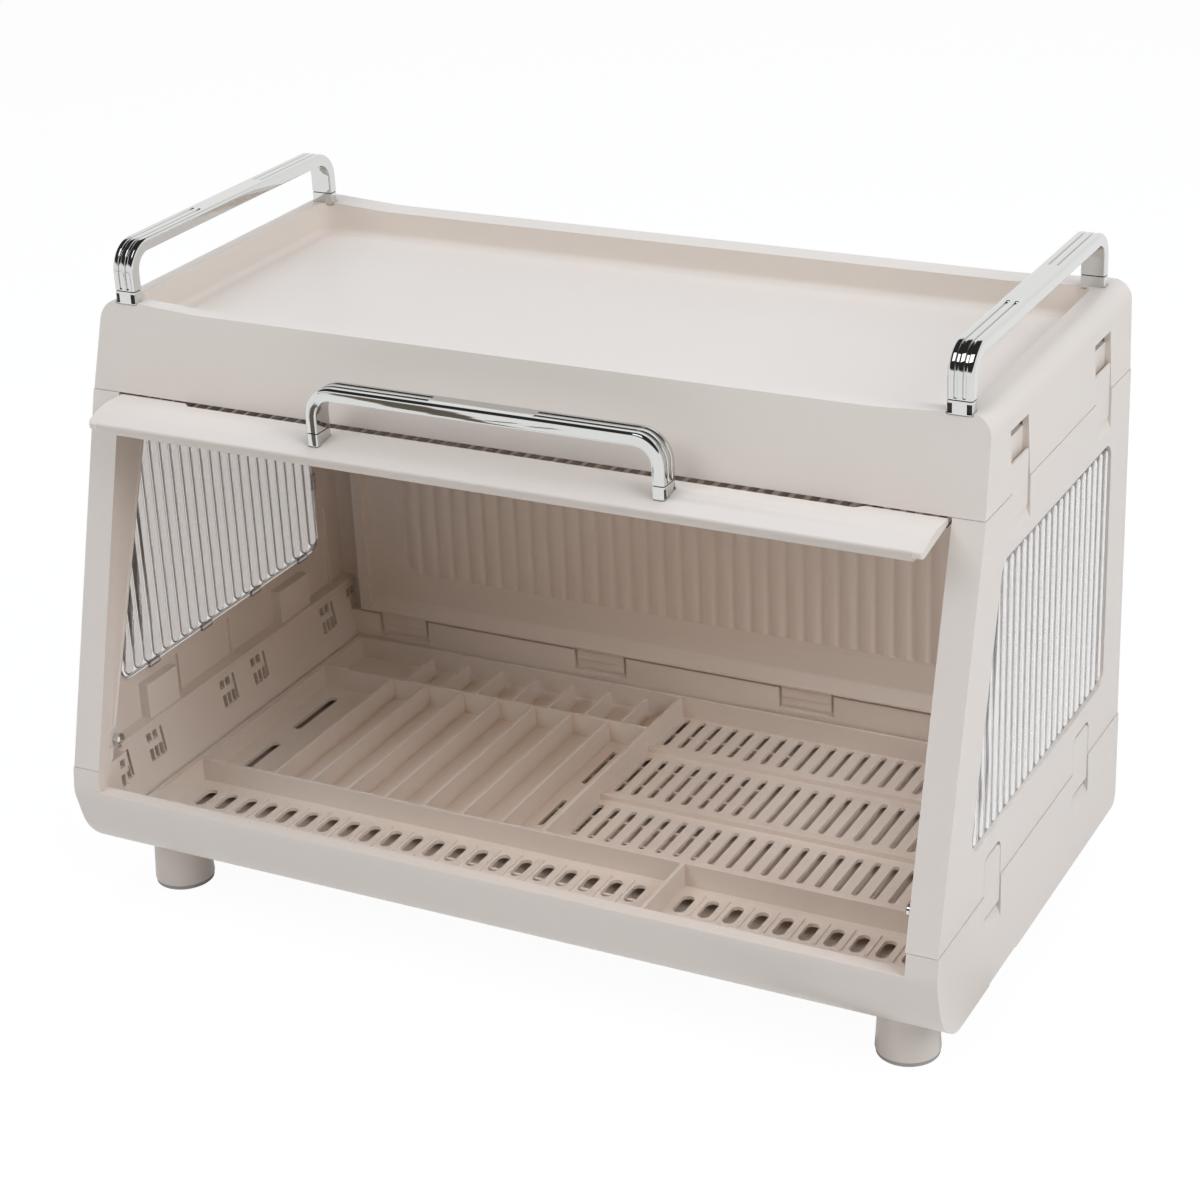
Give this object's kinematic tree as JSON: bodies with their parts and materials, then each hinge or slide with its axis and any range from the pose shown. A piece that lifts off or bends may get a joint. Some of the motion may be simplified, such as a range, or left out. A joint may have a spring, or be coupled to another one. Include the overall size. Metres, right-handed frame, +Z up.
{
  "type": "covered dish drainer",
  "caption": "Countertop dish cabinet with a slotted drain tray, reeded clear windows, a slide-and-drop reeded front door and a tray top with chrome handles.",
  "frame": {"origin": "middle of the footprint, on the surface that the feet stand on", "axes": "+X to the right seen from the front, +Y to the rear, +Z up"},
  "size_m": [0.502, 0.2819, 0.3625],
  "materials": {
    "cream_plastic": "satin moulded",
    "clear_plastic": "clear reeded",
    "chrome": "bright chrome plating",
    "steel": "zinc plated",
    "foot_rubber": "soft matte",
    "runner_plastic": "low friction moulded"
  },
  "bodies": {
    "base": {"base_tub": "cream_plastic", "foot_front_left": "cream_plastic", "foot_front_right": "cream_plastic", "foot_rear_left": "cream_plastic", "foot_rear_right": "cream_plastic", "foot_pads": "foot_rubber", "foot_screws": "steel", "side_panel_left": "cream_plastic", "side_panel_right": "cream_plastic", "side_window_left": "clear_plastic", "side_window_right": "clear_plastic", "window_clips_left": "clear_plastic", "window_clips_right": "clear_plastic", "back_panel": "cream_plastic", "hinge_hooks_left": "cream_plastic", "hinge_hooks_right": "cream_plastic", "back_hinge_tabs": "cream_plastic", "base_latch_clips": "cream_plastic", "top_latch_clips": "cream_plastic", "door_catch_studs": "chrome"},
    "insert": {"drain_insert": "cream_plastic"},
    "top": {"top_box": "cream_plastic", "top_handle_left": "chrome", "top_handle_right": "chrome", "top_handle_screws": "steel", "door_track_left": "cream_plastic", "door_track_right": "cream_plastic", "track_screws": "steel"},
    "carriage": {"pivot_shaft": "steel", "runner_left": "runner_plastic", "runner_right": "runner_plastic"},
    "door": {"door_panel": "clear_plastic", "door_hinge_rail": "cream_plastic", "door_lip": "cream_plastic", "door_lip_backing": "cream_plastic", "door_handle": "chrome", "door_handle_screws": "steel", "door_catch_plates": "steel"}
  },
  "joints": [
    {"name": "insert_lift", "type": "slide", "parent": "base", "child": "insert", "axis": [0, 0, 1], "range_m": [0, 0.03]},
    {"name": "top_lift", "type": "slide", "parent": "base", "child": "top", "axis": [0, 0, 1], "range_m": [0, 0.05]},
    {"name": "door_slide", "type": "slide", "parent": "top", "child": "carriage", "axis": [0, -1, 0], "range_m": [0, 0.1765]},
    {"name": "door_swing", "type": "hinge", "parent": "carriage", "child": "door", "pos_m": [0, 0.1005, 0.281], "axis": [1, 0, 0], "range_deg": [0, 74.05]}
  ],
  "couplings": [
    {"joint": "door_swing", "follows": "door_slide", "rad_per_m": 7.3224}
  ]
}
